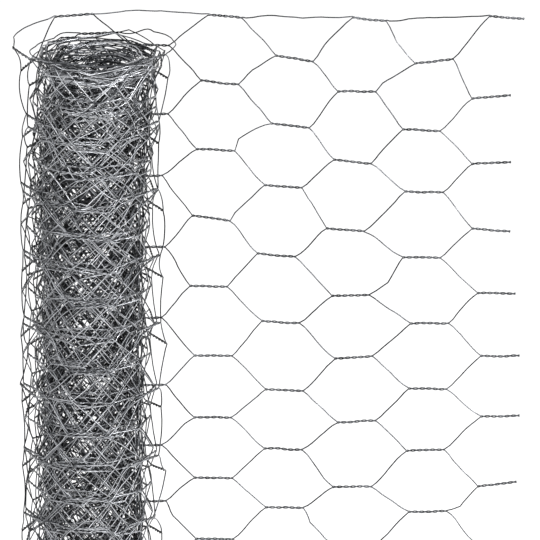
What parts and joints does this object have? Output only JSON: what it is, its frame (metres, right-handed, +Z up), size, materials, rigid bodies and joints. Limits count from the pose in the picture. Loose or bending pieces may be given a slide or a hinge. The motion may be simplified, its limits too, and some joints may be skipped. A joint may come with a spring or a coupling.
{
  "type": "roll of chicken wire",
  "caption": "Roll of hexagonal wire netting standing on end, its loose outer turns sprung open and its free end drawn out flat.",
  "frame": {"origin": "centre of the roll's bore at its lower end, on the surface it stands on", "axes": "+Z up along the roll's axis; the free end runs out along +X, behind the roll towards +Y"},
  "size_m": [0.3714, 0.1158, 0.5133],
  "materials": {
    "galvanised_netting": "dull zinc coating on wire, many turns wound close together",
    "galvanised_wire": "dull zinc coating on drawn wire"
  },
  "bodies": {
    "root": {"wound_roll": "galvanised_netting", "loose_turns": "galvanised_wire", "free_end": "galvanised_wire"}
  },
  "joints": []
}
